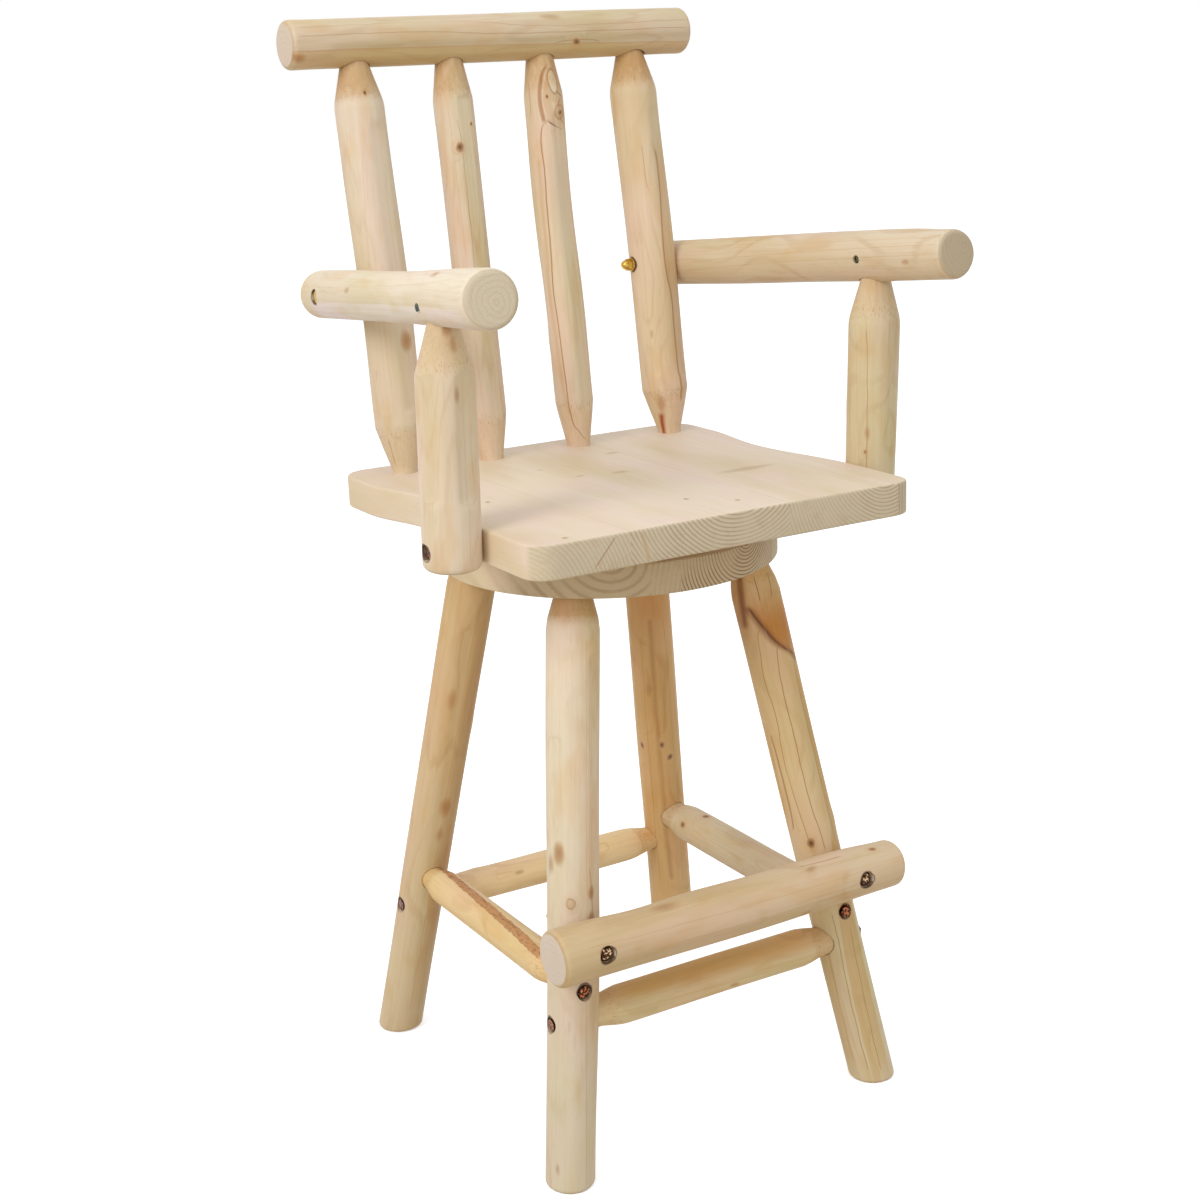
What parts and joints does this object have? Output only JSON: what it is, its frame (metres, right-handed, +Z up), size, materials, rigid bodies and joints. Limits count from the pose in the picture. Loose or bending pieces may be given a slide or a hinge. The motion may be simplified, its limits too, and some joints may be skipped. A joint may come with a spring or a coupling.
{
  "type": "swivel bar stool",
  "caption": "Bar-height swivel stool in peeled logs: splayed legs with stretchers and footrest, ball-bearing swivel, waisted plank seat, spindle back and log arms.",
  "frame": {"origin": "on the floor, on the swivel axis, midway between the four feet", "axes": "+Z up; the seat's front, the footrest and the arms' free ends face -Y; +X is to the right when looking along +Y"},
  "size_m": [0.6418, 0.5498, 1.288],
  "materials": {
    "peeled_log": "peeled, lightly sanded, unfinished pine",
    "glued_board": "planed and sanded, unfinished pine",
    "zinc_steel": "zinc-plated steel, slightly dull",
    "yellow_zinc": "yellow-passivated zinc plate",
    "ball_steel": "polished bearing steel"
  },
  "bodies": {
    "base": {"base_disc": "glued_board", "leg_front_left": "peeled_log", "leg_front_right": "peeled_log", "leg_back_left": "peeled_log", "leg_back_right": "peeled_log", "leg_screws": "zinc_steel", "stretcher_front": "peeled_log", "stretcher_back": "peeled_log", "stretcher_left": "peeled_log", "stretcher_right": "peeled_log", "stretcher_bolts": "zinc_steel", "stretcher_washers": "zinc_steel", "footrest_rail": "peeled_log", "footrest_bolts": "zinc_steel", "footrest_nuts": "yellow_zinc", "footrest_washers": "zinc_steel", "lower_swivel_plate": "zinc_steel", "lower_plate_screws": "zinc_steel", "swivel_rivet": "zinc_steel"},
    "ball_ring": {"bearing_balls": "ball_steel", "ball_cage": "yellow_zinc"},
    "seat": {"upper_swivel_plate": "zinc_steel", "upper_plate_screws": "zinc_steel", "seat_board": "glued_board", "spindle_outer_left": "peeled_log", "spindle_inner_left": "peeled_log", "spindle_inner_right": "peeled_log", "spindle_outer_right": "peeled_log", "spindle_screws": "zinc_steel", "top_rail": "peeled_log", "rail_screws": "zinc_steel", "arm_left": "peeled_log", "arm_right": "peeled_log", "arm_post_left": "peeled_log", "arm_post_right": "peeled_log", "arm_bolts": "yellow_zinc", "arm_washers": "yellow_zinc", "acorn_nuts": "yellow_zinc", "arm_screws": "zinc_steel", "post_bolts": "zinc_steel", "post_washers": "zinc_steel"}
  },
  "joints": [
    {"name": "seat_swivel", "type": "hinge", "parent": "base", "child": "seat", "pos_m": [0, 0, 0.707], "axis": [0, 0, 1], "continuous": true},
    {"name": "ball_ring_turn", "type": "hinge", "parent": "base", "child": "ball_ring", "pos_m": [0, 0, 0.707], "axis": [0, 0, 1], "continuous": true}
  ],
  "couplings": [
    {"joint": "ball_ring_turn", "follows": "seat_swivel", "ratio": 0.5}
  ]
}
